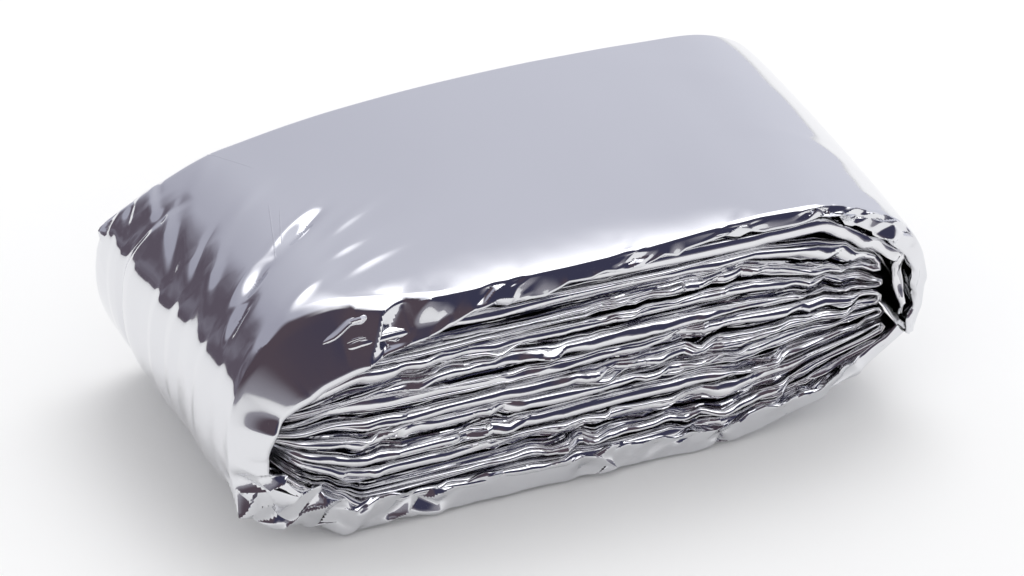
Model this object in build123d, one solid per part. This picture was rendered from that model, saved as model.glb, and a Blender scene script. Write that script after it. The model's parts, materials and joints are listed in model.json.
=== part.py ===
from build123d import *

import math
import os

# Folded emergency foil blanket, in millimetres.
#
# One sheet of metallised film is pleated into a long narrow strip, and the strip is folded leaf
# on leaf into a packet.  Its last stretch goes once round the pile as an outer turn.  Each solid
# is one run of the strip, a leaf or a panel, or one of the U-bends, the folds, that carry it on
# to the next leaf.  All the creases that open run along Y.
#
# Frame: X along the packet, Y across the strip, Z up, origin at the centre of the underside.
# Sections are drawn in the X-Z plane of the front edge and swept across the strip.

# The strip and the pile
PACKET_LENGTH = 160.0
STRIP_WIDTH = 78.0
LEAF_THICKNESS = 3.6  # sixteen plies of film and the air between them
LEAF_GAP = 0.45  # free space between one leaf and the next
INNER_LEAVES = 12  # an even number, so that the last leaf ends at the right

# The outer turn, from the underside round the left end, over the top and down at the right
LEFT_LOW_RUN = 24.0  # along X, of the sloping panel under the left end
LEFT_LOW_RISE = 18.0
LEFT_END_LEAN = 1.0  # the foot of the upright end panel stands in by this much
LEFT_END_RISE = 22.0
LEFT_HIGH_RUN = 23.0  # along X, of the sloping panel over the left end
RIGHT_HIGH_RUN = 21.0  # along X, of the sloping panel over the right end
RIGHT_HIGH_DROP = 14.0
RIGHT_END_LEAN = 1.5  # the foot of the upright free end stands out by this much
RIGHT_END_DROP = 21.0
RISE_RUN = 37.0  # along X, of the stretch of the bottom leaf that slopes up at the right
RISE_HEIGHT = 18.0
RISE_INSET = 5.0  # from the right end of the packet to the end of that stretch

# The inner tail, which hangs from the last inner leaf inside the free end
TAIL_THICKNESS = 2.4
TAIL_DROP = 15.0

# Room between the pile, the tail and the outer turn
PILE_CLEARANCE = 2.4  # from the pile to the sloping panels at the left
NOSE_CLEARANCE = 4.6  # from the left folds to the upright end panel
TAIL_CLEARANCE = 2.2  # from the tail to the panels outside it
TAIL_ROOM = 1.0  # from the tail to the pile inside it
HINGE_CLEARANCE = 0.3  # round the rounded end of a panel, in the hollow end of the next
FOLD_STEP = 0.9  # how far each fold stands back from the one before it
RISE_FOLD_REACH = 3.0  # how far the lowest right fold stands out past the next

# How far the inner leaves turn at each left fold, in degrees, while the outer turn opens out flat
LOWEST_FOLD_OPENING = 14.0
FOLD_OPENING_STEP = 4.0  # each fold opens this much more than the one under it
FOLD_ROOM = 28.0  # degrees of free space that are left in each left fold even then

PITCH = LEAF_THICKNESS + LEAF_GAP
PACKET_HEIGHT = (INNER_LEAVES + 2) * PITCH - LEAF_GAP
HALF_LENGTH = PACKET_LENGTH / 2
HALF_LEAF = LEAF_THICKNESS / 2
FRONT_Y = -STRIP_WIDTH / 2
FOLD_COUNT = INNER_LEAVES // 2


def outer_corners():
    """Corners of the outer turn's outside, from its free end round to the rising end."""
    right_nose_x = HALF_LENGTH - RIGHT_END_LEAN
    right_nose_z = PACKET_HEIGHT - RIGHT_HIGH_DROP
    left_foot_x = -HALF_LENGTH + LEFT_END_LEAN
    rise_end_x = HALF_LENGTH - RISE_INSET
    return [
        (HALF_LENGTH, right_nose_z - RIGHT_END_DROP),
        (right_nose_x, right_nose_z),
        (right_nose_x - RIGHT_HIGH_RUN, PACKET_HEIGHT),
        (-HALF_LENGTH + LEFT_HIGH_RUN, PACKET_HEIGHT),
        (-HALF_LENGTH, LEFT_LOW_RISE + LEFT_END_RISE),
        (left_foot_x, LEFT_LOW_RISE),
        (left_foot_x + LEFT_LOW_RUN, 0.0),
        (rise_end_x - RISE_RUN, 0.0),
        (rise_end_x, RISE_HEIGHT),
    ]


FREE_END, RIGHT_NOSE, RIGHT_SHOULDER, LEFT_SHOULDER = range(4)
LEFT_NOSE, LEFT_FOOT, LEFT_BASE, RISE_START = range(4, 8)


def unit(start, end):
    """Direction from one point to another."""
    length = math.hypot(end[0] - start[0], end[1] - start[1])
    return ((end[0] - start[0]) / length, (end[1] - start[1]) / length)


def moved_in(corners, distance):
    """A run of corners moved in towards the pile, mitred where the run turns."""
    last = len(corners) - 1
    moved = []
    for i, (x, z) in enumerate(corners):
        before = unit(corners[i - 1], corners[i]) if i else unit(corners[0], corners[1])
        after = unit(corners[i], corners[i + 1]) if i < last else before
        normal = (-(before[1] + after[1]) / 2, (before[0] + after[0]) / 2)
        stretch = distance / (normal[0] ** 2 + normal[1] ** 2)
        moved.append((x + normal[0] * stretch, z + normal[1] * stretch))
    return moved


def line_height(line, x):
    """Height at x of the line through two points."""
    (x0, z0), (x1, z1) = line
    return z0 + (z1 - z0) * (x - x0) / (x1 - x0)


def line_place(line, z):
    """X at height z of the line through two points."""
    (x0, z0), (x1, z1) = line
    return x0 + (x1 - x0) * (z - z0) / (z1 - z0)


def low_slope(corners):
    return (corners[LEFT_FOOT], corners[LEFT_BASE])


def left_slope(corners):
    return (corners[LEFT_SHOULDER], corners[LEFT_NOSE])


def right_slope(corners):
    return (corners[RIGHT_NOSE], corners[RIGHT_SHOULDER])


OUTSIDE = outer_corners()
MIDDLE = moved_in(OUTSIDE, HALF_LEAF)  # the outer turn's creases lie on this middle line
PILE_EDGE = moved_in(OUTSIDE, LEAF_THICKNESS + PILE_CLEARANCE)
TAIL_MIDDLE = moved_in(OUTSIDE, LEAF_THICKNESS + TAIL_CLEARANCE + TAIL_THICKNESS / 2)
TAIL_INSIDE = moved_in(OUTSIDE, LEAF_THICKNESS + TAIL_CLEARANCE + TAIL_THICKNESS)


def flat_level(level):
    """Height of the gap over an inner leaf, by its number, in the flat middle of the pile."""
    return (level + 1) * PITCH - LEAF_GAP / 2


# The pile is flat between two bends, and narrows from each of them to its folds
LEFT_BEND = max(
    line_place(low_slope(PILE_EDGE), flat_level(0)),
    line_place(left_slope(PILE_EDGE), flat_level(INNER_LEAVES)),
)
RIGHT_BEND = OUTSIDE[RISE_START][0]
LEFT_REACH = -HALF_LENGTH + LEAF_THICKNESS + NOSE_CLEARANCE
RIGHT_REACH = TAIL_INSIDE[RIGHT_NOSE][0] - TAIL_ROOM - HALF_LEAF
LEFT_LOWEST = line_height(low_slope(PILE_EDGE), LEFT_REACH)
LEFT_HIGHEST = line_height(left_slope(PILE_EDGE), LEFT_REACH)
RIGHT_LOWEST = line_height(OUTSIDE[RISE_START:], RIGHT_REACH)
RIGHT_HIGHEST = line_height(right_slope(TAIL_INSIDE), RIGHT_REACH) - TAIL_ROOM

LAST_LEAF_MIDDLE = flat_level(INNER_LEAVES) - LEAF_GAP / 2 - HALF_LEAF
TAIL_HINGE = (line_place(right_slope(TAIL_MIDDLE), LAST_LEAF_MIDDLE), LAST_LEAF_MIDDLE)


def level_height(level, x):
    """Height at x of the gap over an inner leaf.  Level 0 is over the bottom leaf."""
    flat = flat_level(level)
    if x < LEFT_BEND:
        end = LEFT_LOWEST + (LEFT_HIGHEST - LEFT_LOWEST) * level / INNER_LEAVES
        return line_height(((LEFT_REACH, end), (LEFT_BEND, flat)), x)
    if x > RIGHT_BEND:
        end = RIGHT_LOWEST + (RIGHT_HIGHEST - RIGHT_LOWEST) * (level + 1) / INNER_LEAVES
        return line_height(((RIGHT_REACH, end), (RIGHT_BEND, flat)), x)
    return flat


def left_end(fold):
    """X of the leaf ends at a left fold.  Both kinds of fold count from 1 at the bottom."""
    return LEFT_REACH + FOLD_STEP * abs(fold - (FOLD_COUNT + 1) / 2)


def right_end(fold):
    """X of the leaf ends at a right fold."""
    if fold == 1:
        return RIGHT_REACH + RISE_FOLD_REACH
    return RIGHT_REACH - FOLD_STEP * (fold - 2) / 2


def leaf_ends(number):
    """X of the left and right ends of an inner leaf."""
    if number == INNER_LEAVES:
        return left_end(FOLD_COUNT), TAIL_HINGE[0]
    return left_end((number + 1) // 2), right_end(number // 2 + 1)


def corner_points(number, xs):
    """Corners of the stretch of a leaf that runs through the given X values."""
    low = [(x, level_height(number - 1, x) + LEAF_GAP / 2) for x in xs]
    high = [(x, level_height(number, x) - LEAF_GAP / 2) for x in xs]
    return low + high[::-1]


def place(point):
    return Vector(point[0], FRONT_Y, point[1])


def outline(points):
    """A section with straight sides."""
    return Face(Wire.make_polygon([place(point) for point in points], close=True))


def round_ended(points, tip):
    """A section whose side from its last point to its first is an arc through the tip."""
    corners = [place(point) for point in points]
    sides = [Edge.make_line(a, b) for a, b in zip(corners, corners[1:])]
    sides.append(Edge.make_three_point_arc(corners[-1], place(tip), corners[0]))
    return Face(Wire(sides))


def beyond(point, along, forward, leftward):
    """A point reached by going forward along a direction and then to its left."""
    x = point[0] + along[0] * forward - along[1] * leftward
    z = point[1] + along[1] * forward + along[0] * leftward
    return place((x, z))


def hinged_panel(start, end, thickness, hollow):
    """A panel from crease to crease, with a hollow start and a rounded end about the creases."""
    along = unit(start, end)
    half = thickness / 2
    lip = math.sqrt(hollow**2 - half**2)
    start_left = beyond(start, along, lip, half)
    start_right = beyond(start, along, lip, -half)
    end_left = beyond(end, along, 0, half)
    end_right = beyond(end, along, 0, -half)
    start_tip = beyond(start, along, hollow, 0)
    end_tip = beyond(end, along, half, 0)
    sides = [
        Edge.make_line(start_right, end_right),
        Edge.make_three_point_arc(end_right, end_tip, end_left),
        Edge.make_line(end_left, start_left),
        Edge.make_three_point_arc(start_left, start_tip, start_right),
    ]
    return Face(Wire(sides))


def stiff_panel(start, end, thickness):
    """A panel with a rounded end that starts flush against the rounded end of the one before."""
    along = unit(start, end)
    half = thickness / 2
    start_left = beyond(start, along, half, half)
    start_right = beyond(start, along, half, -half)
    end_left = beyond(end, along, 0, half)
    end_right = beyond(end, along, 0, -half)
    sides = [
        Edge.make_line(start_right, end_right),
        Edge.make_three_point_arc(end_right, beyond(end, along, half, 0), end_left),
        Edge.make_line(end_left, start_left),
        Edge.make_line(start_left, start_right),
    ]
    return Face(Wire(sides))


def bottom_leaf():
    """The flat bottom leaf, with a rounded end about the crease at its left."""
    crease = MIDDLE[LEFT_BASE]
    corners = [
        (crease[0], 0.0),
        (RIGHT_BEND, 0.0),
        (RIGHT_BEND, LEAF_THICKNESS),
        (crease[0], LEAF_THICKNESS),
    ]
    return round_ended(corners, (crease[0] - HALF_LEAF, crease[1]))


def bottom_rise():
    """The right end of the bottom leaf, which slopes up and thins towards its fold."""
    end = right_end(1)
    corners = [
        (RIGHT_BEND, 0.0),
        (end, level_height(-1, end) + LEAF_GAP / 2),
        (end, level_height(0, end) - LEAF_GAP / 2),
        (RIGHT_BEND, LEAF_THICKNESS),
    ]
    return outline(corners)


def first_leaf():
    """The lowest inner leaf in three stretches, split where it bends."""
    left, right = leaf_ends(1)
    return {
        "inner_leaf_01_left": outline(corner_points(1, [left, LEFT_BEND])),
        "inner_leaf_01_middle": outline(corner_points(1, [LEFT_BEND, RIGHT_BEND])),
        "inner_leaf_01_right": outline(corner_points(1, [RIGHT_BEND, right])),
    }


def inner_leaf(number):
    left, right = leaf_ends(number)
    return outline(corner_points(number, [left, LEFT_BEND, RIGHT_BEND, right]))


def last_leaf():
    """The highest inner leaf, with a rounded end about the crease of the tail."""
    left, right = leaf_ends(INNER_LEAVES)
    low_left, low_bend, high_bend, high_left = corner_points(INNER_LEAVES, [left, LEFT_BEND])
    top = (right, LAST_LEAF_MIDDLE + HALF_LEAF)
    bottom = (right, LAST_LEAF_MIDDLE - HALF_LEAF)
    corners = [top, high_bend, high_left, low_left, low_bend, bottom]
    return round_ended(corners, (right + HALF_LEAF, LAST_LEAF_MIDDLE))


def fold(x, level, start, end):
    """A U-bend round the gap between two leaves, between two angles in degrees from +X."""
    centre = level_height(level, x)
    room = min(level_height(level + 1, x) - centre, centre - level_height(level - 1, x))
    plane = Plane(origin=place((x, centre)), x_dir=(1, 0, 0), z_dir=(0, -1, 0))
    outside = Edge.make_circle(room - LEAF_GAP / 2, plane, start, end)
    inside = Edge.make_circle(LEAF_GAP / 2, plane, start, end)
    last_side = Edge.make_line(outside @ 1, inside @ 1)
    first_side = Edge.make_line(inside @ 0, outside @ 0)
    return Face(Wire([outside, last_side, inside, first_side]))


def fold_opening(number):
    """Degrees that the leaf over a left fold turns as the strip opens."""
    return LOWEST_FOLD_OPENING + FOLD_OPENING_STEP * (number - 1)


def left_fold(number):
    """A left fold belongs to the leaf under it, and leaves the next leaf room to open."""
    clear_from = 90 + fold_opening(number) + FOLD_ROOM
    return fold(left_end(number), 2 * number - 1, clear_from, 270)


def right_fold(number):
    return fold(right_end(number), 2 * number - 2, -90, 90)


def tail_end():
    """The lower end of the tail's middle line."""
    nose = TAIL_MIDDLE[RIGHT_NOSE]
    down = unit(nose, TAIL_MIDDLE[FREE_END])
    return (nose[0] + down[0] * TAIL_DROP, nose[1] + down[1] * TAIL_DROP)


def sections():
    """Every node's section, by name."""
    faces = {"bottom_leaf": bottom_leaf(), "bottom_rise": bottom_rise(), **first_leaf()}
    turn = {
        "left_low_panel": LEFT_BASE,
        "left_end_panel": LEFT_FOOT,
        "left_high_panel": LEFT_NOSE,
        "top_leaf": LEFT_SHOULDER,
        "right_high_panel": RIGHT_SHOULDER,
        "right_end_panel": RIGHT_NOSE,
    }
    for name, start in turn.items():
        ends = (MIDDLE[start], MIDDLE[start - 1])
        faces[name] = hinged_panel(*ends, LEAF_THICKNESS, HALF_LEAF + HINGE_CLEARANCE)
    for number in range(2, INNER_LEAVES):
        faces[f"inner_leaf_{number:02d}"] = inner_leaf(number)
    faces[f"inner_leaf_{INNER_LEAVES:02d}"] = last_leaf()
    for number in range(1, FOLD_COUNT + 1):
        faces[f"left_fold_{number}"] = left_fold(number)
        faces[f"right_fold_{number}"] = right_fold(number)
    nose = TAIL_MIDDLE[RIGHT_NOSE]
    clear = HALF_LEAF + HINGE_CLEARANCE
    faces["tail_high_panel"] = hinged_panel(TAIL_HINGE, nose, TAIL_THICKNESS, clear)
    faces["tail_end_panel"] = stiff_panel(nose, tail_end(), TAIL_THICKNESS)
    return faces


def heading(start):
    """Direction of the outer turn's panel that starts at a corner, in degrees from +X."""
    along = unit(MIDDLE[start], MIDDLE[start - 1])
    return math.degrees(math.atan2(along[1], along[0]))


def creases():
    """The crease lines that open, as X and Z, with the degrees that lay the strip out flat."""
    low, end, high = heading(LEFT_BASE), heading(LEFT_FOOT), heading(LEFT_NOSE)
    right_high, right_low = heading(RIGHT_SHOULDER), heading(RIGHT_NOSE)
    places = {
        "left_low_crease": (MIDDLE[LEFT_BASE], 180 - low),
        "left_end_crease": (MIDDLE[LEFT_FOOT], low - end),
        "left_high_crease": (MIDDLE[LEFT_NOSE], end - high),
        "top_crease": (MIDDLE[LEFT_SHOULDER], high),
        "right_high_crease": (MIDDLE[RIGHT_SHOULDER], -right_high),
        "right_end_crease": (MIDDLE[RIGHT_NOSE], right_high - right_low),
        "tail_crease": (TAIL_HINGE, -right_high),
    }
    for number in range(1, FOLD_COUNT + 1):
        x = left_end(number)
        at_fold = (x, level_height(2 * number - 1, x))
        places[f"left_crease_{number}"] = (at_fold, fold_opening(number))
    return places


def main():
    os.makedirs("parts", exist_ok=True)
    for name, face in sections().items():
        export_step(Solid.extrude(face, Vector(0, STRIP_WIDTH, 0)), f"parts/{name}.step")
    for name, ((x, z), opening) in creases().items():
        print(f"{name}: x {x:.4f}  z {z:.4f}  opens {opening:.4f} degrees")


if __name__ == "__main__":
    main()
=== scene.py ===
import json
import math

import bpy
import numpy as np
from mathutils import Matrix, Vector


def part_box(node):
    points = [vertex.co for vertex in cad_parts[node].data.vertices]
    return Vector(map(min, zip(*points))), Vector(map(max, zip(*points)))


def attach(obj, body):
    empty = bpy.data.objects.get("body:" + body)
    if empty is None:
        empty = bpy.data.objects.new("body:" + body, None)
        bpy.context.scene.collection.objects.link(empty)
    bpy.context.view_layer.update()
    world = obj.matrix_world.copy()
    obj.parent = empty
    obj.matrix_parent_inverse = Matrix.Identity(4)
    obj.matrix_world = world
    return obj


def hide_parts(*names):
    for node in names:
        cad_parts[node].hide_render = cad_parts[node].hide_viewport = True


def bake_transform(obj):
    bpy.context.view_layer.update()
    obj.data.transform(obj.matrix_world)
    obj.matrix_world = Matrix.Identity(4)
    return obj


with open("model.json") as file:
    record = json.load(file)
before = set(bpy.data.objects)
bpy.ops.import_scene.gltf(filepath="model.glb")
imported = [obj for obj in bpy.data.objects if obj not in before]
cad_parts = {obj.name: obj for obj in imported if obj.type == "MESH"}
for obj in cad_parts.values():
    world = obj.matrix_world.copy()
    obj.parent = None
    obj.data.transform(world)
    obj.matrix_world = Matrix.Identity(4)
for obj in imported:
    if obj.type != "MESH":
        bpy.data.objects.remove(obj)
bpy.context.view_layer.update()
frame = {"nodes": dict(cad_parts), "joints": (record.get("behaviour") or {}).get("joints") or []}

# ---------------------------------------------------------------------------------------------
# Studio.  A pale table top under one broad soft light, and a room that is dark in front of the
# table and grey behind it, because film this bright shows little but the room around it.  The
# camera sees plain white past the table, and the table itself is lit by an even white.
# ---------------------------------------------------------------------------------------------
view_azimuth = math.radians(22.62)
view_elevation = math.radians(33.49)
view_target = Vector((-0.0008, 0.0, 0.0248))
view_distance = 1.051
camera_data = bpy.data.cameras.new("packet_camera")
camera_data.sensor_width = 36.0
camera_data.lens = 172.8
camera = bpy.data.objects.new("packet_camera", camera_data)
bpy.context.collection.objects.link(camera)
view_direction = Vector(
    (
        math.sin(view_azimuth) * math.cos(view_elevation),
        math.cos(view_azimuth) * math.cos(view_elevation),
        -math.sin(view_elevation),
    )
)
camera.location = view_target - view_direction * view_distance
camera.rotation_euler = view_direction.to_track_quat("-Z", "Y").to_euler()
bpy.context.scene.camera = camera
bpy.context.scene.view_settings.view_transform = "Standard"


class Wiring:
    """Adds nodes to a tree in one line each: a name, values for its inputs, and settings."""

    def __init__(self, tree):
        self.tree = tree

    def add(self, kind, inputs=(), **settings):
        node = self.tree.nodes.new(kind)
        for name, value in settings.items():
            setattr(node, name, value)
        for name, value in dict(inputs).items():
            if isinstance(value, bpy.types.NodeSocket):
                self.tree.links.new(value, node.inputs[name])
            else:
                node.inputs[name].default_value = value
        return node

    def math(self, operation, first, second=0.0, third=0.0):
        inputs = {0: first, 1: second, 2: third}
        return self.add("ShaderNodeMath", inputs, operation=operation).outputs[0]

    def step(self, value, low, high, at_low=0.0, at_high=1.0):
        """A smooth change from one number to another while a value goes from low to high."""
        inputs = {"Value": value, "From Min": low, "From Max": high}
        inputs.update({"To Min": at_low, "To Max": at_high})
        node = self.add("ShaderNodeMapRange", inputs, interpolation_type="SMOOTHSTEP")
        return node.outputs["Result"]

    def mix(self, factor, first, second):
        """A colour between two colours."""
        node = self.add("ShaderNodeMix", {"Factor": factor}, data_type="RGBA")
        for socket, value in ((node.inputs[6], first), (node.inputs[7], second)):
            if isinstance(value, bpy.types.NodeSocket):
                self.tree.links.new(value, socket)
            else:
                socket.default_value = (*value, 1.0)
        return node.outputs[2]


world = bpy.data.worlds.new("studio_room")
bpy.context.scene.world = world
world.use_nodes = True
world.node_tree.nodes.clear()
room = Wiring(world.node_tree)
look = room.add("ShaderNodeTexCoord").outputs["Generated"]
axes = room.add("ShaderNodeSeparateXYZ", {0: look})
right, back, up = axes.outputs
back_wall = room.mix(
    room.step(right, -0.55, 0.75), (0.42, 0.42, 0.50), (0.76, 0.77, 0.85)
)
low_left = room.math(
    "MULTIPLY", room.step(up, 0.64, 0.50), room.step(right, -0.16, -0.40)
)
patches = room.add("ShaderNodeTexNoise", {"Vector": look, "Scale": 3.2, "Detail": 3.0})
low_left = room.math("MULTIPLY", low_left, room.step(patches.outputs[0], 0.36, 0.60, 0.72, 1.0))
back_wall = room.mix(low_left, back_wall, (0.125, 0.105, 0.135))
dark_side = room.mix(room.step(right, -0.20, 0.25), (0.095, 0.072, 0.090), (0.050, 0.050, 0.090))
front_wall = room.mix(room.step(up, 0.0, 0.26), (0.30, 0.29, 0.33), dark_side)
walls = room.mix(room.step(back, -0.30, -0.02), front_wall, back_wall)
soft_box = room.math("MULTIPLY", room.step(up, 0.69, 0.84), room.step(back, -0.50, -0.36))
soft_box = room.math("MULTIPLY", soft_box, room.step(right, -0.12, 0.24))
ceiling = room.mix(soft_box, walls, (2.2, 2.2, 2.25))
path = room.add("ShaderNodeLightPath").outputs
colour = room.mix(path["Is Diffuse Ray"], ceiling, (0.80, 0.80, 0.80))
colour = room.mix(path["Is Camera Ray"], colour, (1.0, 1.0, 1.0))
background = room.add("ShaderNodeBackground", {"Color": colour, "Strength": 1.0})
room.add("ShaderNodeOutputWorld", {"Surface": background.outputs[0]})

key_data = bpy.data.lights.new("key_softbox", "AREA")
key_data.energy = 5.4
key_data.shape = "RECTANGLE"
key_data.size = 0.9
key_data.size_y = 0.7
key = bpy.data.objects.new("key_softbox", key_data)
bpy.context.collection.objects.link(key)
key.location = (0.35, 0.45, 1.1)
key.rotation_euler = (view_target - key.location).to_track_quat("-Z", "Y").to_euler()
key.visible_glossy = False

table_size = 3.0
table_mesh = bpy.data.meshes.new("table_top")
corners = [(-1, -1), (1, -1), (1, 1), (-1, 1)]
table_mesh.from_pydata([(x * table_size, y * table_size, 0) for x, y in corners], [], [(0, 1, 2, 3)])
table = bpy.data.objects.new("table_top", table_mesh)
bpy.context.collection.objects.link(table)
table.location.z = -0.0002
table_paint = bpy.data.materials.new("table_white")
table_paint.use_nodes = True
table_shader = table_paint.node_tree.nodes["Principled BSDF"]
table_shader.inputs["Base Color"].default_value = (0.93, 0.93, 0.935, 1)
table_shader.inputs["Roughness"].default_value = 0.8
table_shader.inputs["Specular IOR Level"].default_value = 0.1
table_mesh.materials.append(table_paint)

# ---------------------------------------------------------------------------------------------
# The film.  Polyester 12 microns thick with aluminium laid on it in a vacuum: a mirror with a
# faint cool tint.  Handling leaves shallow dimples all over it and a few straight creases on top.
# ---------------------------------------------------------------------------------------------
mm = 0.001

wear = bpy.data.node_groups.new("film_handling", "ShaderNodeTree")
for name, low, default in (("Dimple", 0, 0.5), ("Crease", 0, 0.5), ("Size", 1, 40)):
    socket = wear.interface.new_socket(name, in_out="INPUT", socket_type="NodeSocketFloat")
    socket.default_value = default
wear.interface.new_socket("Height", in_out="OUTPUT", socket_type="NodeSocketFloat")
wear.interface.new_socket("Rub", in_out="OUTPUT", socket_type="NodeSocketFloat")
film = Wiring(wear)
given = film.add("NodeGroupInput").outputs
place = film.add("ShaderNodeTexCoord").outputs["Object"]
dimples = film.add(
    "ShaderNodeTexNoise",
    {"Vector": place, "Scale": given["Size"], "Detail": 3.0, "Roughness": 0.45},
)
split = film.add("ShaderNodeSeparateXYZ", {0: place})
along_x, along_y, _ = split.outputs


def crease_mark(x0, y0, x1, y1):
    """A hair-fine straight crease in the film, between two places in millimetres."""
    length = math.hypot(x1 - x0, y1 - y0)
    ux, uy = (x1 - x0) / length, (y1 - y0) / length
    reach = film.math("MULTIPLY_ADD", along_x, ux, film.math("MULTIPLY", along_y, uy))
    reach = film.math("SUBTRACT", reach, (ux * x0 + uy * y0) / 1000)
    aside = film.math("MULTIPLY_ADD", along_x, -uy, film.math("MULTIPLY", along_y, ux))
    aside = film.math("SUBTRACT", aside, (ux * y0 - uy * x0) / 1000)
    line = film.step(film.math("ABSOLUTE", aside), 0.0, 0.00022, 1.0, 0.0)
    line = film.math("MULTIPLY", line, film.step(reach, 0.0, 0.004))
    end = film.step(reach, (length - 4) / 1000, length / 1000, 1.0, 0.0)
    return film.math("MULTIPLY", line, end)


crease_marks = (  # straight creases on the top, each from x, y to x, y
    (-52.5, 8.0, -58.5, -13.0),
    (-51.0, 5.0, -56.0, -9.0),
    (-60.0, 38.0, -50.0, 20.0),
)
creases = crease_mark(*crease_marks[0])
for mark in crease_marks[1:]:
    creases = film.math("MAXIMUM", creases, crease_mark(*mark))
height = film.math("MULTIPLY", dimples.outputs[0], given["Dimple"])
height = film.math("MULTIPLY_ADD", creases, given["Crease"], height)
film.add("NodeGroupOutput", {"Height": height, "Rub": creases})


def film_material(name, tint, roughness, dimple, crease, size, depth):
    """Bright metallised film, with its handling marks."""
    material = bpy.data.materials.new(name)
    material.use_nodes = True
    material.node_tree.nodes.clear()
    paint = Wiring(material.node_tree)
    marks = paint.add("ShaderNodeGroup", node_tree=wear)
    for key_name, value in (("Dimple", dimple), ("Crease", crease), ("Size", size)):
        marks.inputs[key_name].default_value = value
    bump = paint.add(
        "ShaderNodeBump", {"Height": marks.outputs["Height"], "Strength": 1.0, "Distance": depth}
    )
    shine = paint.step(marks.outputs["Rub"], 0.0, 1.0, roughness, roughness + 0.12)
    worn = tuple(channel * 0.93 for channel in tint)
    shader = paint.add(
        "ShaderNodeBsdfPrincipled",
        {
            "Base Color": paint.mix(marks.outputs["Rub"], tint, worn),
            "Metallic": 1.0,
            "Roughness": shine,
            "Normal": bump.outputs[0],
        },
    )
    paint.add("ShaderNodeOutputMaterial", {"Surface": shader.outputs[0]})
    return material


outer_film = film_material("outer_film", (0.77, 0.775, 0.80), 0.08, 0.35, 0.05, 26.0, 0.0006)
pleat_film = film_material("pleat_film", (0.80, 0.80, 0.82), 0.07, 0.5, 0.0, 70.0, 0.0004)


def joint_place(name):
    """Where a crease lies, in metres."""
    for joint in frame["joints"]:
        if joint["name"] == name:
            return Vector(joint["pos_m"])
    raise KeyError(name)


def steady(seed):
    """A source of random numbers that gives the same ones every run."""
    return np.random.default_rng(seed)


def smoothed(values, reach):
    """The same values, each averaged with its neighbours up to a distance in steps."""
    if reach < 1:
        return values
    steps = np.arange(-3 * reach, 3 * reach + 1)
    weights = np.exp(-0.5 * (steps / reach) ** 2)
    weights /= weights.sum()
    edge = 3 * reach
    ends = [(edge, edge)] + [(0, 0)] * (values.ndim - 1)
    wide = np.pad(values, ends, mode="reflect", reflect_type="odd")
    parts = [wide[i : i + len(values)] * w for i, w in enumerate(weights)]
    return np.sum(parts, axis=0)


def facets(distance, spacing, size, seed):
    """A bumpy line: straight facets of uneven length between random heights."""
    random = steady(seed)
    knots = np.cumsum(random.uniform(0.4, 1.6, int(distance[-1] / spacing * 1.4) + 8) * spacing)
    knots -= knots[0]
    heights = random.normal(0, size, len(knots))
    return np.interp(distance, knots, heights)


def surface_normals(grid):
    """Unit normals of a grid of points, from its rows and columns."""
    along = np.gradient(grid, axis=0)
    across = np.gradient(grid, axis=1)
    normals = np.cross(along, across)
    lengths = np.linalg.norm(normals, axis=2, keepdims=True)
    return normals / np.maximum(lengths, 1e-12)


crease_limit = math.cos(math.radians(16))


def film_piece(name, grid, normals, material, strip_place, film_place):
    """A piece of film from a grid of points in millimetres, with a map of the flat film on it.

    Film that bends gently shines smoothly, and film that bends sharply breaks into flat facets."""
    rows, columns = grid.shape[:2]
    index = np.arange(rows * columns).reshape(rows, columns)
    quads = np.stack(
        [index[:-1, :-1], index[1:, :-1], index[1:, 1:], index[:-1, 1:]], axis=-1
    ).reshape(-1, 4)
    mesh = bpy.data.meshes.new(name)
    mesh.vertices.add(rows * columns)
    mesh.vertices.foreach_set("co", (grid * mm).astype(np.float32).ravel())
    mesh.loops.add(quads.size)
    mesh.loops.foreach_set("vertex_index", quads.ravel().astype(np.int32))
    mesh.polygons.add(len(quads))
    mesh.polygons.foreach_set("loop_start", np.arange(0, quads.size, 4, dtype=np.int32))
    mesh.polygons.foreach_set("use_smooth", np.ones(len(quads), bool))
    mesh.update(calc_edges=True)
    flat = np.stack(np.meshgrid(strip_place, film_place, indexing="ij"), axis=-1)
    film_map = mesh.uv_layers.new(name="flat_film")
    film_map.data.foreach_set("uv", flat.reshape(-1, 2)[quads.ravel()].ravel())
    faces = np.cross(grid[1:, 1:] - grid[:-1, :-1], grid[:-1, 1:] - grid[1:, :-1])
    faces /= np.maximum(np.linalg.norm(faces, axis=2, keepdims=True), 1e-12)
    faces = np.repeat(faces.reshape(-1, 1, 3), 4, axis=1)
    smooth = normals.reshape(-1, 3)[quads]
    bent = np.sum(faces * smooth, axis=2, keepdims=True) < crease_limit
    shading = np.where(bent, faces, smooth).reshape(-1, 3)
    mesh.normals_split_custom_set(shading)
    mesh.materials.append(material)
    piece = bpy.data.objects.new(name, mesh)
    bpy.context.collection.objects.link(piece)
    return piece


# ---------------------------------------------------------------------------------------------
# The pile.  The film is pleated sixteen times across its width, and the pleated strip runs back
# and forth from the bottom leaf to the tail in one line.  Each pleat ends in a soft round bead
# at the front and the back, some further out than others, and all are crumpled along the strip.
# ---------------------------------------------------------------------------------------------
film_width = 1280.0
pleats = 16
strip_width = 78.0
leaf_count = 12
column_step = 1.05
standing_folds = {  # folds that stand out, by number: thickness of the bead, and how far it hides
    7: (0.62, 0.0),
    11: (0.28, 0.5),
    3: (0.28, 0.7),
    8: (0.62, 0.0),
    12: (0.28, 0.5),
    4: (0.28, 0.7),
}
standing_rows = (0.0125, 0.025, 0.0395, 0.056, 0.0704, 0.0824, 0.11, 0.18)
hidden_rows = (0.03, 0.08, 0.17)
hidden_bead, hidden_recess = 0.16, 1.1
half_leaf = 1.8
strip_start = -50.0


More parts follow.
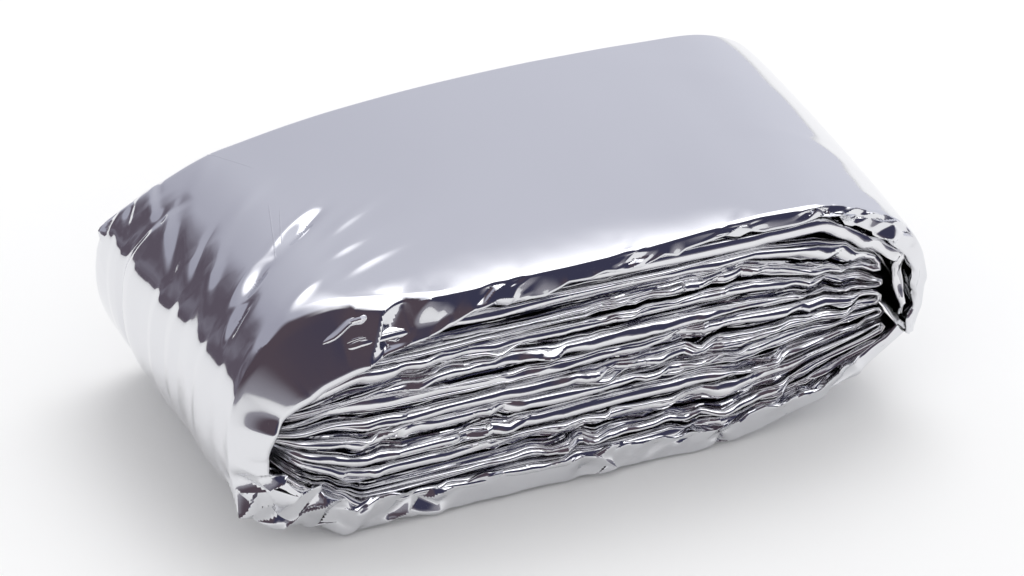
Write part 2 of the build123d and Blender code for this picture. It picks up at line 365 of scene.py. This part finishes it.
def leaf_line(node):
    """Middle line and half thickness of a leaf, from the corners of its section."""
    mesh = frame["nodes"][node].data
    corners = {(round(v.co.x / mm, 2), round(v.co.z / mm, 2)) for v in mesh.vertices}
    places = sorted({x for x, z in corners})
    line = []
    for x in places:
        heights = [z for px, z in corners if px == x]
        if max(heights) - min(heights) > 0.3:
            line.append((x, (max(heights) + min(heights)) / 2, (max(heights) - min(heights)) / 2))
    return np.array(line)


strip_line = []
strip_marks = {}


def lay(name, points):
    """Adds a stretch to the strip, and notes where it starts."""
    strip_marks[name] = len(strip_line)
    strip_line.extend(points)


def spread(points, step):
    """More points along straight runs, so that smoothing keeps them in place."""
    dense = []
    for a, b in zip(points[:-1], points[1:]):
        count = max(1, int(math.hypot(b[0] - a[0], b[1] - a[1]) / step))
        dense += [tuple(np.array(a) + (np.array(b) - a) * i / count) for i in range(count)]
    dense.append(tuple(points[-1]))
    return dense


def half_turn(low_end, high_end, side):
    """Points of a U-bend from one leaf end up to the next, with the half thicknesses between."""
    (x0, z0, h0), (x1, z1, h1) = low_end, high_end
    radius = (z1 - z0) / 2
    points = []
    for i in range(1, 8):
        turn = math.pi * i / 8
        share = i / 8
        x = x0 + (x1 - x0) * share + side * radius * math.sin(turn)
        z = (z0 + z1) / 2 - radius * math.cos(turn)
        points.append((x, z, h0 + (h1 - h0) * share))
    return points


rise_line = leaf_line("bottom_rise")
first_left = leaf_line("inner_leaf_01_left")
first_middle = leaf_line("inner_leaf_01_middle")
first_right = leaf_line("inner_leaf_01_right")
leaf_lines = {1: np.vstack([first_left, first_middle[1:], first_right[1:]])}
for number in range(2, leaf_count + 1):
    leaf_lines[number] = leaf_line(f"inner_leaf_{number:02d}")
tail_hinge = joint_place("tail_crease") / mm
tail_low, tail_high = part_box("tail_end_panel")
leaf_lines[leaf_count] = np.array(
    [p for p in leaf_lines[leaf_count] if p[0] < tail_hinge.x - 2.5]
    + [(tail_hinge.x, tail_hinge.z, half_leaf)]
)
rise_points = [(rise_line[0][0], half_leaf, half_leaf), *rise_line[1:]]
lay("bottom", spread([(strip_start, half_leaf, half_leaf), *rise_points], 1.0))
low_end = rise_points[-1]
for number in range(1, leaf_count + 1):
    rightward = number % 2 == 0
    line = [tuple(p) for p in leaf_lines[number]]
    if not rightward:
        line = line[::-1]
    side = -1 if rightward else 1
    lay(f"fold_{number}", half_turn(low_end, line[0], side))
    lay(f"leaf_{number}", spread(line, 1.0))
    low_end = line[-1]
tail_points = [
    (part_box("tail_high_panel")[1][0] / mm - 1.2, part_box("tail_high_panel")[0][2] / mm + 1.2, 1.7),
    ((tail_low[0] + tail_high[0]) / 2 / mm + 0.6, tail_low[2] / mm + 0.4, 0.9),
]
lay("tail", spread([low_end, *tail_points], 1.0)[1:])
strip_marks["end"] = len(strip_line) - 1

strip = np.array(strip_line)
strip[:, :2] = smoothed(strip[:, :2], 1)
strip[:, 2] = smoothed(strip[:, 2:], 3)[:, 0]
raw_length = np.concatenate([[0], np.cumsum(np.linalg.norm(np.diff(strip[:, :2], axis=0), axis=1))])
columns = int(raw_length[-1] / column_step)
strip_place = np.linspace(0, raw_length[-1], columns)
strip = np.stack([np.interp(strip_place, raw_length, column) for column in strip.T], axis=1)
strip_tangent = np.gradient(strip[:, :2], axis=0)
strip_tangent /= np.linalg.norm(strip_tangent, axis=1, keepdims=True)
strip_normal = np.stack([-strip_tangent[:, 1], strip_tangent[:, 0]], axis=1)


def strip_column(mark):
    """The column of the strip where a stretch starts."""
    return int(round(raw_length[strip_marks[mark]] / raw_length[-1] * (columns - 1)))


upper_leaf = slice(strip_column(f"leaf_{leaf_count - 1}"), strip_column(f"fold_{leaf_count}"))
puffed = np.clip((strip[upper_leaf, 0] - 36) / 16, 0, 1)
puffed *= np.clip((67.0 - strip[upper_leaf, 0]) / 8, 0, 1)
strip[upper_leaf, 1] += 1.3 * puffed
strip[upper_leaf, 2] += 1.1 * puffed


def pleat_rows(plies):
    """Places of the rows across the film, in plies: close together near folds that stand out."""
    rows = []
    for k in range(plies + 1):
        near = standing_rows if k in standing_folds else hidden_rows
        rows += [k - share for share in near[::-1] if k > 0]
        rows.append(float(k))
        rows += [k + share for share in near if k < plies]
        rows.append(k + 0.5)
    return np.array(rows[:-1])


def crumple(distance, spacing, reach, size, seed):
    """Short crumpled stretches with smooth runs between them."""
    random = steady(seed)
    count = max(1, int(distance[-1] / spacing))
    centres = random.uniform(0, distance[-1], count)
    strengths = random.uniform(0.4, 1.0, count)
    mask = np.zeros(len(distance))
    for centre, strength in zip(centres, strengths):
        mask = np.maximum(mask, strength * np.exp(-(((distance - centre) / reach) ** 2)))
    return facets(distance, 3.6, size, seed + 1) * mask


def thrown(u, v, size, seed):
    """Random offsets for points at places u and v, in flat facets of about one size."""
    u = (u - np.min(u)) / size
    v = (v - np.min(v)) / size
    i, j = u.astype(int), v.astype(int)
    knots = steady(seed).normal(0, 1, (np.max(i) + 2, np.max(j) + 2, 3))
    fu, fv = (u - i)[..., None], (v - j)[..., None]
    near, far = knots[i, j], knots[i + 1, j + 1]
    ahead, beside = knots[i + 1, j], knots[i, j + 1]
    lower = near + (ahead - near) * fu + (far - ahead) * fv
    upper = near + (beside - near) * fv + (far - beside) * fu
    return np.where(fu > fv, lower, upper)


crushed_spots = (  # x, z, reach along, reach up, how crumpled, how far pulled in
    (-20.0, 19.5, 5.0, 4.0, 1.0, 0.5),
    (-5.0, 10.7, 6.0, 4.0, 1.0, 0.3),
    (-15.0, 34.0, 9.0, 3.0, 0.8, 0.5),
    (-38.0, 36.0, 8.0, 3.5, 0.8, 0.6),
    (24.0, 27.0, 9.0, 5.0, 1.0, 0.6),
    (27.0, 9.0, 7.0, 5.0, 1.0, 0.2),
    (47.0, 10.0, 7.0, 5.0, 0.9, 0.0),
    (58.0, 34.0, 9.0, 8.0, 0.9, 0.4),
    (-69.0, 22.5, 4.0, 3.5, 0.6, 6.5),
    (-54.0, 28.5, 7.0, 2.6, 0.4, 3.5),
    (-71.0, 33.0, 6.0, 8.0, 0.4, 2.6),
    (-66.0, 12.0, 9.0, 5.0, 1.0, 0.0),
    (8.0, 40.0, 8.0, 3.0, 0.6, 0.3),
    (-5.0, 1.8, 70.0, 2.2, 0.1, 2.6),
    (48.0, 5.0, 9.0, 2.2, 0.2, 2.2),
    (60.0, 10.0, 8.0, 2.4, 0.2, 2.2),
    (-38.0, 51.5, 22.0, 3.2, 0.1, 4.6),
    (-62.0, 45.0, 9.0, 7.0, 0.1, 4.6),
    (-5.0, 52.0, 22.0, 2.4, 0.1, 1.2),
    (72.0, 33.0, 6.0, 9.0, 1.0, -0.5),
    (-46.0, 22.0, 8.0, 3.0, 0.8, 0.3),
    (40.0, 19.0, 7.0, 3.0, 0.9, 0.3),
    (6.0, 26.5, 6.0, 3.0, 0.8, 0.3),
    (30.0, 42.0, 8.0, 3.0, 0.7, 0.3),
)


def crushed_places(line):
    """How crumpled and how far pulled in the pile's edge is at each point of a line."""
    crumpled = np.zeros(len(line))
    pulled = np.zeros(len(line))
    for x, z, along, up, amount, inward in crushed_spots:
        fade = np.exp(-(((line[:, 0] - x) / along) ** 2) - ((line[:, 1] - z) / up) ** 2)
        crumpled = np.maximum(crumpled, amount * fade)
        pulled += inward * fade
    return crumpled, pulled


def pleated_grid(line, normal, distance, plies, width, seed):
    """Points of a pleated strip along a line, row by row from one edge of the film to the other.

    The line gives the middle and half thickness.  Returns the grid and each row's place."""
    rows = pleat_rows(plies)
    phase = np.cos(np.pi * rows)
    random = steady(seed)
    folds = np.rint(rows).astype(int)
    from_fold = (1 - np.abs(phase)) * width / 2
    count = len(distance)
    thick = line[:, 2]
    across = np.zeros((count, len(rows)))
    lift = np.outer(thick, (rows / plies - 0.5) * 2)
    crush, pulled_in = crushed_places(line)
    shared = smoothed(facets(distance, 26.0, 0.09, seed + 5), 3)
    shared += crumple(distance, 60.0, 6.0, 0.4, seed + 7) + crush * facets(distance, 5.0, 0.25, seed + 8)
    for k in range(plies + 1):
        mine = folds == k
        standing = k in standing_folds
        own = seed + 31 * k
        bead, recess = standing_folds.get(k, (hidden_bead, hidden_recess))
        recess += random.uniform(0.0, 0.5) if standing else random.uniform(0.0, 1.3)
        reach = facets(distance, 24.0, 0.45, own + 1)
        reach += crumple(distance, 55.0, 6.0, 0.8, own + 2) + crush * facets(distance, 4.5, 0.9, own + 5)
        wander = facets(distance, 28.0, 0.12, own + 3)
        wander += crumple(distance, 55.0, 6.0, 0.4, own + 2)
        girth = thick * bead * np.clip(1 + facets(distance, 26.0, 0.36, own + 4), 0.3, 1.7)
        lean = 0.18 + facets(distance, 16.0, 0.60, own + 6) + crush * facets(distance, 4.0, 0.8, own + 7)
        edge = from_fold[mine]
        side = np.sign(phase[mine])
        side[side == 0] = 1.0
        near = np.exp(-edge / 3.0)
        inset = np.clip(recess - reach + pulled_in, -0.6, 12.0)
        across[:, mine] = side * (width / 2 - edge - inset[:, None] * np.exp(-edge / 14.0))
        over = np.sign(rows[mine] - k)
        tip = 1.3
        round_out = np.sqrt(1 - (1 - np.minimum(edge, tip) / tip) ** 2)
        across[:, mine] -= np.clip(lean, -0.9, 1.4)[:, None] * bead * side * over * round_out * near
        round_out *= np.exp(-np.maximum(edge - tip, 0) / 3.0)
        lift[:, mine] += girth[:, None] * over * round_out
        lift[:, mine] += (wander + shared)[:, None] * near
    grid = np.empty((count, len(rows), 3))
    grid[:, :, 0] = line[:, 0][:, None] + normal[:, 0][:, None] * lift
    grid[:, :, 1] = across
    grid[:, :, 2] = line[:, 1][:, None] + normal[:, 1][:, None] * lift
    return grid, rows / plies * film_width


pile_grid, film_place = pleated_grid(
    strip, strip_normal, strip_place, pleats, strip_width - 0.6, 11
)
pile_crush = [spot for spot in crushed_spots if spot[4] > 0.5]
for number, (x, z, along, up, amount, _) in enumerate(pile_crush):
    fade = ((pile_grid[:, :, 0] - x) / along / 1.2) ** 2
    fade = fade + ((pile_grid[:, :, 2] - z) / up / 1.2) ** 2
    fade = fade + (np.maximum(39 - np.abs(pile_grid[:, :, 1]), 0) / 5.0) ** 2
    fade = (np.exp(-fade) * amount)[:, :, None]
    offsets = thrown(pile_grid[:, :, 0], pile_grid[:, :, 2], 4.0, 401 + number)
    pile_grid += offsets * (0.5, 1.3, 0.6) * fade
pile_grid[:, :, 2] = np.maximum(pile_grid[:, :, 2], 0.15)
pile_normals = surface_normals(pile_grid)


def strip_piece(name, start, end):
    """One piece of the pleated strip, between two columns."""
    cut = slice(start, end + 1)
    piece = film_piece(
        name, pile_grid[cut], pile_normals[cut], pleat_film, strip_place[cut], film_place
    )
    return piece


pair_count = leaf_count // 2
fold_margin = 5  # columns that a left fold takes from the leaf on either side
tail_margin = 14  # columns that the tail takes from the last leaf
base = strip_piece("bottom_rise_film", strip_column("bottom"), strip_column("fold_2") - fold_margin)
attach(base, "bottom")
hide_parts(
    "bottom_rise",
    "right_fold_1",
    "inner_leaf_01_left",
    "inner_leaf_01_middle",
    "inner_leaf_01_right",
)
for pair in range(1, pair_count + 1):
    body = f"leaf_pair_{pair}" if pair < pair_count else "last_leaf"
    fold_start = strip_column(f"fold_{2 * pair}") - fold_margin
    fold_end = strip_column(f"leaf_{2 * pair}") + fold_margin
    bend = strip_piece(f"left_fold_{pair}_film", fold_start, fold_end)
    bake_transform(bend)
    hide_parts(f"left_fold_{pair}")
    if pair < pair_count:
        leaf_end = strip_column(f"fold_{2 * pair + 2}") - fold_margin
        leaf = strip_piece(f"leaf_pair_{pair}_film", fold_end, leaf_end)
    else:
        leaf = strip_piece("last_leaf_film", fold_end, strip_column("tail") - tail_margin)
    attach(leaf, body)
    hidden = [f"inner_leaf_{2 * pair:02d}"]
    if pair < pair_count:
        hidden += [f"right_fold_{pair + 1}", f"inner_leaf_{2 * pair + 1:02d}"]
    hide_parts(*hidden)

# ---------------------------------------------------------------------------------------------
# The tail.  The inner end of the strip, bent down over the pile inside the free end.  It turns
# at the crease where it leaves the last leaf.
# ---------------------------------------------------------------------------------------------
tail = strip_piece("tail_film", strip_column("tail") - tail_margin, columns - 1)
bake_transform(tail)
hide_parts("tail_high_panel", "tail_end_panel")

# ---------------------------------------------------------------------------------------------
# The outer turn.  The outermost ply of the strip shows as one smooth sleeve: over the top, round
# the left end and along the underside, with its front and back folds turned down over the plies
# inside.  It is drawn between the line of its front fold and the line of its back fold.
# ---------------------------------------------------------------------------------------------
sleeve_corners = (  # front x and z, back x and z, and how wide the front and back bands are
    (77.0, 17.5, 73.5, 18.5, 2.6, 3.0),
    (79.4, 28.5, 76.5, 28.5, 2.8, 3.4),
    (78.6, 36.5, 76.0, 36.5, 3.0, 3.6),
    (75.2, 43.0, 74.4, 43.0, 3.4, 4.0),
    (67.9, 49.2, 69.5, 49.8, 2.5, 4.4),
    (58.5, 53.8, 61.0, 54.2, 1.9, 4.6),
    (43.0, 55.8, 44.0, 56.2, 1.5, 5.0),
    (25.0, 55.2, 25.0, 57.4, 1.6, 5.5),
    (4.0, 54.3, 4.0, 57.8, 2.1, 6.0),
    (-15.0, 53.8, -16.0, 57.4, 3.2, 6.5),
    (-32.0, 53.4, -36.0, 55.8, 5.0, 7.0),
    (-45.0, 53.6, -49.0, 54.2, 8.5, 8.0),
    (-55.0, 53.6, -59.0, 52.6, 11.0, 9.0),
    (-65.5, 51.0, -68.0, 49.0, 11.5, 9.5),
    (-72.5, 45.0, -76.0, 44.8, 10.0, 9.0),
    (-76.6, 37.5, -81.4, 40.0, 8.0, 8.0),
    (-78.4, 28.5, -83.0, 32.5, 6.5, 6.5),
    (-78.6, 20.0, -82.4, 22.5, 6.0, 5.5),
    (-75.6, 11.5, -78.6, 12.5, 7.0, 5.0),
    (-67.4, 4.4, -70.0, 4.6, 7.6, 4.6),
    (-56.0, 0.9, -57.0, 0.9, 6.0, 4.4),
    (-40.0, 0.3, -41.0, 0.3, 4.6, 4.0),
    (-10.0, 0.2, -10.0, 0.2, 4.2, 4.0),
    (20.0, 0.2, 20.0, 0.2, 3.8, 3.8),
    (35.0, 0.5, 35.0, 0.5, 3.6, 3.6),
    (46.0, 2.6, 46.0, 2.6, 3.8, 3.4),
    (56.0, 6.2, 56.0, 6.2, 3.2, 3.2),
    (66.0, 11.6, 65.0, 11.6, 2.8, 3.0),
    (74.2, 17.6, 71.5, 17.0, 2.4, 2.6),
)
sleeve_step = 0.55
sleeve_reach = 39.2
folded_depth = 2.6
bend_reach = 9.0


def sleeve_lines():
    """The corners joined by smooth curves, sampled evenly along the middle of the strip."""
    knots = np.array(sleeve_corners)
    middle = (knots[:, :2] + knots[:, 2:4]) / 2
    lengths = np.linalg.norm(np.diff(middle, axis=0), axis=1)
    reach = np.concatenate([[0], np.cumsum(lengths)])
    even = np.linspace(0, reach[-1], int(reach[-1] / sleeve_step))
    slope = np.gradient(knots, reach, axis=0)
    span = np.clip(np.searchsorted(reach, even, side="right") - 1, 0, len(reach) - 2)
    size = (reach[span + 1] - reach[span])[:, None]
    t = (even[:, None] - reach[span][:, None]) / size
    curve = (2 * t**3 - 3 * t**2 + 1) * knots[span] + (t**3 - 2 * t**2 + t) * size * slope[span]
    curve += (3 * t**2 - 2 * t**3) * knots[span + 1] + (t**3 - t**2) * size * slope[span + 1]
    return smoothed(curve, int(2.4 / sleeve_step)), even


sleeve, sleeve_place = sleeve_lines()


def fold_section(reach, band, band_slope):
    """Half of the sleeve's section: across the top, over the edge, down the band and under.

    Each point is how far across it is, how far in, and how much it belongs to the band."""
    edge_radius = 1.4 + 0.5 * max(band - 4, 0)
    lip_radius = 0.6 + 0.17 * max(band - 4, 0)
    run = math.cos(band_slope) * band
    edge = reach - run - edge_radius * math.sin(band_slope)
    points = [(edge * t, 0.25 * t**8, 0.0) for t in np.linspace(0, 1, 62)]
    for turn in np.linspace(0, band_slope, 9)[1:]:
        x = edge + edge_radius * math.sin(turn)
        points.append((x, 0.25 + edge_radius * (1 - math.cos(turn)), 0.5 * turn / band_slope))
    start_x, start_z, _ = points[-1]
    for t in np.linspace(0, 1, 12)[1:]:
        x = start_x + run * t
        points.append((x, start_z + math.sin(band_slope) * band * t, 0.5 + 0.5 * t))
    x, z, _ = points[-1]
    centre = (x - lip_radius * math.sin(band_slope), z + lip_radius * math.cos(band_slope))
    for turn in np.linspace(band_slope, math.radians(170), 7)[1:]:
        across = centre[0] + lip_radius * math.sin(turn)
        points.append((across, centre[1] - lip_radius * math.cos(turn), 1.0))
    x, z, _ = points[-1]
    points += [(x - 2.5, z - 0.3, 0.6), (x - 10.0, folded_depth, 0.1)]
    points += [(across, folded_depth, 0.0) for across in (20.0, 10.0, 0.6)]
    return np.array(points)


def sleeve_grid():
    """Points of the sleeve, from the inner side over the back fold, the top and the front fold."""
    front, back = sleeve[:, :2], sleeve[:, 2:4]
    tangent = np.gradient((front + back) / 2, axis=0)
    tangent /= np.linalg.norm(tangent, axis=1, keepdims=True)
    outward = np.stack([tangent[:, 1], -tangent[:, 0]], axis=1)
    slopes = np.radians(60 + 27 * np.clip(-outward[:, 1], 0, 1))
    rows = []
    hang = []
    for column in range(len(sleeve)):
        halves = []
        for band in (sleeve[column, 5], sleeve[column, 4]):
            halves.append(fold_section(sleeve_reach, band, slopes[column]))
        back_half, front_half = halves
        back_half = back_half[::-1]
        section = np.vstack([back_half, front_half[1:] * (-1, 1, 1)])
        rows.append(section[:, :2])
        hang.append(section[:, 2])
    rows, hang = np.array(rows), np.array(hang)
    share = np.clip((rows[:, :, 0] + sleeve_reach) / (2 * sleeve_reach), 0, 1)
    edge = front[:, None, :] + (back - front)[:, None, :] * share[:, :, None]
    return rows, hang, edge, outward


rows, hang, edge_line, outward = sleeve_grid()
crown = 1.3 * (1 - (rows[:, :, 0] / sleeve_reach) ** 2) * np.clip(outward[:, 1], 0, 1)[:, None]
depth = rows[:, :, 1] - crown

lip_shape = facets(sleeve_place, 7.0, 0.6, 71) + crumple(sleeve_place, 30.0, 6.0, 0.9, 72)
depth = depth + lip_shape[:, None] * hang**4
push = smoothed(facets(sleeve_place, 14.0, 0.25, 73), 3)[:, None] * hang
push = push + crumple(sleeve_place, 35.0, 6.0, 0.8, 74)[:, None] * hang**2


def wrinkle(x, y, turn, length, width, height):
    """A soft ridge, or a hollow if its height is negative, on the top or the left slope."""
    along = math.cos(math.radians(turn)), math.sin(math.radians(turn))
    dx, dy = edge_line[:, :, 0] - x, rows[:, :, 0] - y
    u = (dx * along[0] + dy * along[1]) / (length / 2)
    v = (dy * along[0] - dx * along[1]) / width + 0.35 * u**2
    upper = np.clip(outward[:, 1] + 0.35, 0, 1)[:, None] * (hang < 0.3)
    return height * np.exp(-(u**2) * 1.6) * np.exp(-(v**2)) * upper


top_wrinkles = (  # x, y, turn in degrees, length, width, height
    (-50.5, -5.0, 38.0, 15.0, 1.5, -1.25),
    (-52.0, -3.2, 38.0, 22.0, 0.9, 0.20),
    (-64.0, -15.5, 36.0, 12.0, 1.4, -1.15),
    (-66.0, -13.5, 38.0, 16.0, 0.9, 0.22),
    (-70.0, -22.0, 30.0, 10.0, 1.1, -0.80),
    (-40.0, -6.0, 30.0, 20.0, 1.5, 0.28),
    (-44.0, -15.0, 24.0, 16.0, 1.4, 0.24),
    (-41.0, -21.0, 22.0, 18.0, 1.4, 0.22),
    (-57.0, 10.0, 40.0, 18.0, 2.0, 0.25),
    (-58.0, -26.0, 34.0, 18.0, 1.2, 0.22),
    (-70.0, -6.0, 56.0, 22.0, 1.6, 0.40),
    (-69.0, 2.0, 48.0, 16.0, 1.2, -0.35),
    (-73.0, 8.0, 62.0, 22.0, 1.6, -0.45),
    (-71.0, 18.0, 60.0, 14.0, 1.2, 0.35),
    (-72.0, 26.0, 72.0, 18.0, 1.4, 0.40),
    (-69.0, 31.0, 68.0, 10.0, 0.8, -0.30),
    (-76.0, 30.0, 60.0, 12.0, 1.1, -0.50),
    (-79.0, 34.0, 75.0, 9.0, 0.9, 0.55),
    (-60.0, 28.0, 50.0, 20.0, 2.4, 0.25),
    (-30.0, -10.0, 25.0, 40.0, 6.0, 0.12),
    (5.0, 12.0, 14.0, 60.0, 9.0, 0.15),
    (40.0, -4.0, 20.0, 50.0, 8.0, -0.15),
    (52.0, 18.0, -35.0, 40.0, 5.0, 0.16),
    (60.0, -12.0, -30.0, 30.0, 3.0, 0.20),
)
for values in top_wrinkles:
    depth = depth - wrinkle(*values)

streak_y = np.linspace(-sleeve_reach, sleeve_reach, 400)
streak_heights = facets(streak_y + sleeve_reach, 3.2, 0.16, 81)
streak_heights += facets(streak_y + sleeve_reach, 9.0, 0.25, 82)
streaks = np.interp(rows[:, :, 0], streak_y, streak_heights)
end_side = np.clip(-outward[:, 0] - 0.35, 0, 0.6)[:, None] / 0.6 * (hang < 0.3)
fade_low = smoothed(facets(sleeve_place, 8.0, 0.3, 83), 2)[:, None]
depth = depth - streaks * end_side * (1.8 + fade_low)

sleeve_points = np.empty((*rows.shape[:2], 3))
sleeve_points[:, :, 0] = edge_line[:, :, 0] - outward[:, 0][:, None] * depth
sleeve_points[:, :, 1] = rows[:, :, 0] + np.sign(rows[:, :, 0]) * push
sleeve_points[:, :, 2] = edge_line[:, :, 1] - outward[:, 1][:, None] * depth

crumpled_patches = (  # x, y, z, reach, how far the film is thrown, and the size of its facets
    (-44.0, -39.0, 49.5, 7.5, 2.6, 5.2),
    (-35.0, -39.5, 50.0, 5.5, 1.2, 4.4),
    (-79.5, 36.0, 39.0, 6.0, 1.1, 3.0),
    (-72.0, -38.0, 12.0, 8.0, 3.4, 4.4),
    (-60.0, -38.5, 5.0, 8.0, 2.8, 4.2),
    (-38.0, -39.0, 2.5, 6.0, 2.4, 3.6),
    (2.0, -39.0, 2.5, 6.0, 2.4, 3.6),
    (-18.0, -39.5, 50.5, 5.0, 0.7, 3.0),
    (10.0, -39.5, 51.5, 4.0, 0.5, 2.6),
    (34.0, -39.5, 52.0, 4.0, 0.7, 2.6),
    (56.0, -39.5, 51.0, 6.0, 1.4, 3.2),
    (70.0, -38.0, 46.0, 8.0, 1.2, 3.4),
    (78.0, -38.0, 28.0, 8.0, 1.1, 3.4),
    (28.0, -39.0, 2.5, 6.0, 2.2, 3.6),
    (60.0, -39.0, 9.0, 6.0, 1.4, 3.2),
    (-20.0, -39.0, 2.5, 8.0, 0.8, 4.0),
    (15.0, -39.0, 2.5, 6.0, 0.8, 4.0),
    (-50.0, -39.0, 3.0, 7.0, 0.9, 4.0),
    (46.0, -39.0, 4.5, 7.0, 0.9, 3.6),
)


grid_place = np.meshgrid(sleeve_place, np.arange(rows.shape[1]) * 0.55, indexing="ij")
for number, (x, y, z, reach, size, grain) in enumerate(crumpled_patches):
    away = np.linalg.norm(sleeve_points - np.array((x, y, z)), axis=2)
    fade = np.exp(-((away / reach) ** 2)) * (np.clip(hang * 2, 0.25, 1) if x > -60 else 1)
    fade = fade[:, :, None]
    offsets = thrown(grid_place[0], grid_place[1], grain, 301 + number)
    sleeve_points += offsets * (0.6, 0.5, 0.6) * size * fade
sleeve_points[:, :, 2] = np.maximum(sleeve_points[:, :, 2], 0.0)
sleeve_normals = surface_normals(sleeve_points)
if np.mean(sleeve_normals[len(sleeve) // 3, rows.shape[1] // 2] * (0, 0, 1)) < 0:
    sleeve_points = sleeve_points[:, ::-1]
    sleeve_normals = surface_normals(sleeve_points)

section_place = np.concatenate(
    [[0], np.cumsum(np.linalg.norm(np.diff(sleeve_points[len(sleeve) // 3], axis=0), axis=1))]
)
sleeve_middle = (sleeve[:, :2] + sleeve[:, 2:4]) / 2


def nearest_column(place):
    """The column of the sleeve nearest to a crease."""
    return int(np.argmin(np.linalg.norm(sleeve_middle - np.array([place.x, place.z]) / mm, axis=1)))


turn_joints = (
    ("right_end_crease", "flap_end", "flap_high", "right_end_panel"),
    ("right_high_crease", "flap_high", "top", "right_high_panel"),
    ("top_crease", "top", "left_high", "top_leaf"),
    ("left_high_crease", "left_high", "left_end", "left_high_panel"),
    ("left_end_crease", "left_end", "left_low", "left_end_panel"),
    ("left_low_crease", "left_low", "bottom", "left_low_panel"),
)
turn_columns = [nearest_column(joint_place(joint[0])) for joint in turn_joints]
turn_cuts = [0]
for before, after in zip(turn_columns, turn_columns[1:]):
    turn_cuts.append((before + after) // 2)
turn_cuts.append(len(sleeve) - 1)
for (joint, first, second, node), column, start, end in zip(
    turn_joints, turn_columns, turn_cuts, turn_cuts[1:]
):
    cut = slice(start, end + 1)
    piece = film_piece(
        f"{node}_film",
        sleeve_points[cut],
        sleeve_normals[cut],
        outer_film,
        sleeve_place[cut],
        section_place,
    )
    half = min(column - start, end - column, int(bend_reach / sleeve_step))
    before = sleeve_middle[column - half]
    after = sleeve_middle[column + half]
    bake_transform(piece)
    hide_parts(node)
    if second == "bottom":
        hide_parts("bottom_leaf")
